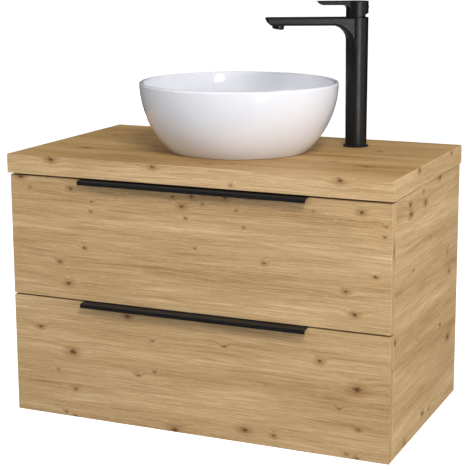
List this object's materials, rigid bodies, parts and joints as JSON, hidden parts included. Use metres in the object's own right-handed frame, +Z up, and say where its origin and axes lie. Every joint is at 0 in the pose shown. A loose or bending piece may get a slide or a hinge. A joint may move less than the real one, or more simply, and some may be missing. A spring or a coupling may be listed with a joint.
{
  "type": "wall-hung vanity with vessel basin",
  "caption": "Wall-hung bathroom cabinet with wood-effect drawers that slide, worktop, round vessel basin with waste and trap, and tall single-lever mixer tap.",
  "frame": {"origin": "on the wall plane at mid-width, in the middle of the four screw holes of the two wall plates that the cabinet hangs from, 92 mm under the worktop's surface", "axes": "+X to the right as seen by someone facing the drawers, +Y into the wall, +Z up; the drawers face -Y"},
  "size_m": [0.806, 0.471, 0.8295],
  "materials": {
    "oak_worktop": "matte",
    "oak_edge": "matte",
    "oak_front": "matte",
    "oak_carcass": "matte",
    "drawer_board": "matte",
    "black_profile": "satin",
    "glazed_white": "gloss",
    "matt_black": "satin",
    "chrome": "polished",
    "brass": "satin",
    "zinc_steel": "satin",
    "black_rubber": "matte",
    "white_plastic": "satin",
    "grey_plastic": "matte"
  },
  "bodies": {
    "root": {"side_panel_left": "oak_carcass", "side_panel_right": "oak_carcass", "bottom_panel": "oak_carcass", "front_rail": "oak_carcass", "hanging_rail": "oak_carcass", "rear_lower_rail": "oak_carcass", "worktop": "oak_worktop", "worktop_edge_bands": "oak_edge", "worktop_screws": "zinc_steel", "wall_plates": "zinc_steel", "cabinet_hangers": "white_plastic", "hanger_adjusters": "zinc_steel", "upper_runner_cabinet_members": "zinc_steel", "lower_runner_cabinet_members": "zinc_steel", "basin_bowl": "glazed_white", "waste_body": "chrome", "waste_washer": "black_rubber", "waste_nut": "brass", "trap_inlet_pipe": "white_plastic", "trap_bottle": "white_plastic", "trap_outlet_pipe": "white_plastic", "trap_nuts": "white_plastic", "tap_shank": "brass", "supply_inlet_block": "brass", "tap_rubber_washer": "black_rubber", "tap_steel_washer": "zinc_steel", "tap_nut": "brass", "tap_base_ring": "matt_black", "tap_body": "matt_black", "aerator_collar": "matt_black", "aerator_insert": "grey_plastic", "mixer_cartridge": "grey_plastic", "cartridge_nut": "brass", "cartridge_dome": "matt_black"},
    "upper_drawer": {"upper_front": "oak_front", "upper_handle": "black_profile", "upper_handle_screws": "zinc_steel", "upper_drawer_side_left": "drawer_board", "upper_drawer_side_right": "drawer_board", "upper_drawer_bottom": "drawer_board", "upper_runner_drawer_members": "zinc_steel", "upper_drawer_backs": "drawer_board", "upper_cutout_walls": "drawer_board"},
    "upper_runner_middles": {"upper_runner_middle_members": "zinc_steel"},
    "lower_drawer": {"lower_front": "oak_front", "lower_handle": "black_profile", "lower_handle_screws": "zinc_steel", "lower_drawer_side_left": "drawer_board", "lower_drawer_side_right": "drawer_board", "lower_drawer_bottom": "drawer_board", "lower_runner_drawer_members": "zinc_steel", "lower_drawer_back": "drawer_board"},
    "lower_runner_middles": {"lower_runner_middle_members": "zinc_steel"},
    "mixer_swivel": {"swivel_carrier": "grey_plastic", "lever_pivot_pin": "zinc_steel"},
    "lever": {"lever_spindle": "brass", "tap_lever": "matt_black", "lever_set_screw": "zinc_steel", "set_screw_plug": "matt_black"},
    "plug": {"waste_plug": "chrome"}
  },
  "joints": [
    {"name": "upper_drawer_slide", "type": "slide", "parent": "root", "child": "upper_drawer", "axis": [0, -1, 0], "range_m": [0, 0.35]},
    {"name": "upper_middle_slide", "type": "slide", "parent": "root", "child": "upper_runner_middles", "axis": [0, -1, 0], "range_m": [0, 0.175]},
    {"name": "lower_drawer_slide", "type": "slide", "parent": "root", "child": "lower_drawer", "axis": [0, -1, 0], "range_m": [0, 0.35]},
    {"name": "lower_middle_slide", "type": "slide", "parent": "root", "child": "lower_runner_middles", "axis": [0, -1, 0], "range_m": [0, 0.175]},
    {"name": "mixer_temperature_swivel", "type": "hinge", "parent": "root", "child": "mixer_swivel", "pos_m": [0.2043, -0.0964, 0.36], "axis": [0, 0, 1], "range_deg": [-45, 45]},
    {"name": "mixer_lever_lift", "type": "hinge", "parent": "mixer_swivel", "child": "lever", "pos_m": [0.2043, -0.0964, 0.36], "axis": [-0.4695, 0.8829, 0], "range_deg": [0, 20]},
    {"name": "waste_plug_lift", "type": "slide", "parent": "root", "child": "plug", "axis": [0, 0, 1], "range_m": [0, 0.008]}
  ],
  "couplings": [
    {"joint": "upper_middle_slide", "follows": "upper_drawer_slide", "ratio": 0.5},
    {"joint": "lower_middle_slide", "follows": "lower_drawer_slide", "ratio": 0.5}
  ]
}
